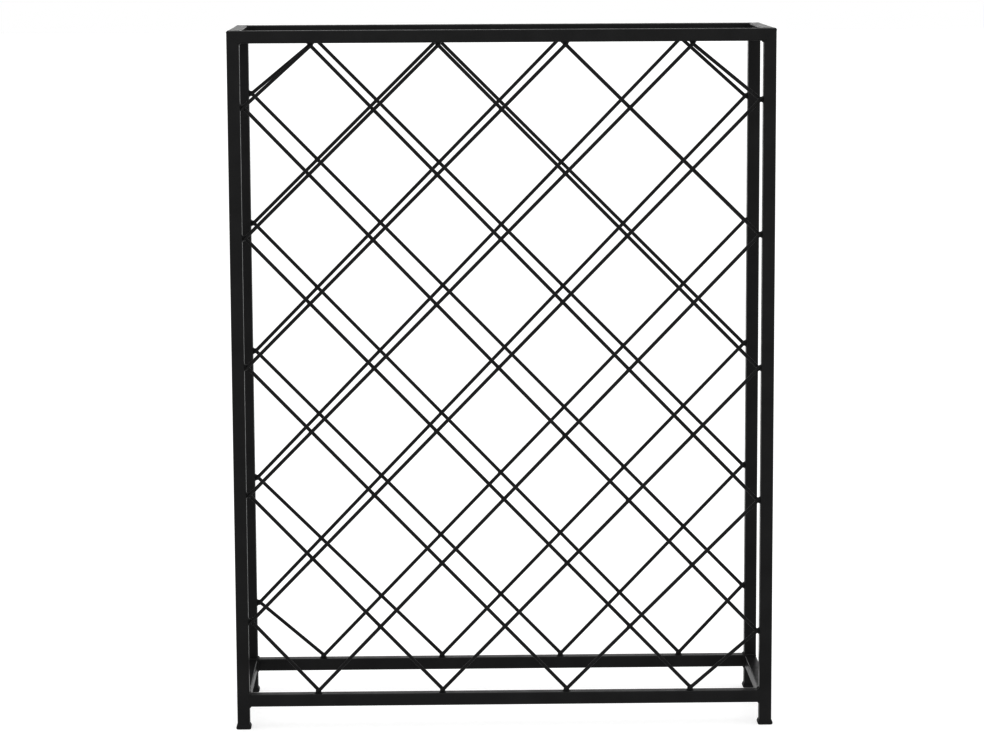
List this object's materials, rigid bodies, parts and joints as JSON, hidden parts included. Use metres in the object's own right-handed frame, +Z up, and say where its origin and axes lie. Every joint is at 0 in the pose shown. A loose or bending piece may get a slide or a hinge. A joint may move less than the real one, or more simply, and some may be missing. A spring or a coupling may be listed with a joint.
{
  "type": "wine rack",
  "caption": "Tall, shallow wine rack: a box frame of square steel tube with crossed-rod lattices front and rear whose diamonds hold bottles lying front to back.",
  "frame": {"origin": "on the floor, below the middle of the rack", "axes": "+Z up, +X to the right as seen from the front, and the front faces -Y"},
  "size_m": [0.5626, 0.1748, 0.728],
  "materials": {
    "painted_steel": "satin black powder coat",
    "glide_plastic": "fine-grained black moulded plastic"
  },
  "bodies": {
    "root": {"front_bottom_rail": "painted_steel", "front_falling_rod_1": "painted_steel", "front_falling_rod_2": "painted_steel", "front_falling_rod_3": "painted_steel", "front_falling_rod_4": "painted_steel", "front_falling_rod_5": "painted_steel", "front_falling_rod_6": "painted_steel", "front_falling_rod_7": "painted_steel", "front_falling_rod_8": "painted_steel", "front_falling_rod_9": "painted_steel", "front_left_glide": "glide_plastic", "front_left_upright": "painted_steel", "front_right_glide": "glide_plastic", "front_right_upright": "painted_steel", "front_rising_rod_1": "painted_steel", "front_rising_rod_2": "painted_steel", "front_rising_rod_3": "painted_steel", "front_rising_rod_4": "painted_steel", "front_rising_rod_5": "painted_steel", "front_rising_rod_6": "painted_steel", "front_rising_rod_7": "painted_steel", "front_rising_rod_8": "painted_steel", "front_rising_rod_9": "painted_steel", "front_top_rail": "painted_steel", "left_bottom_side_rail": "painted_steel", "left_top_side_rail": "painted_steel", "rear_bottom_rail": "painted_steel", "rear_falling_rod_1": "painted_steel", "rear_falling_rod_2": "painted_steel", "rear_falling_rod_3": "painted_steel", "rear_falling_rod_4": "painted_steel", "rear_falling_rod_5": "painted_steel", "rear_falling_rod_6": "painted_steel", "rear_falling_rod_7": "painted_steel", "rear_falling_rod_8": "painted_steel", "rear_falling_rod_9": "painted_steel", "rear_left_glide": "glide_plastic", "rear_left_upright": "painted_steel", "rear_right_glide": "glide_plastic", "rear_right_upright": "painted_steel", "rear_rising_rod_1": "painted_steel", "rear_rising_rod_2": "painted_steel", "rear_rising_rod_3": "painted_steel", "rear_rising_rod_4": "painted_steel", "rear_rising_rod_5": "painted_steel", "rear_rising_rod_6": "painted_steel", "rear_rising_rod_7": "painted_steel", "rear_rising_rod_8": "painted_steel", "rear_rising_rod_9": "painted_steel", "rear_top_rail": "painted_steel", "right_bottom_side_rail": "painted_steel", "right_top_side_rail": "painted_steel"}
  },
  "joints": []
}
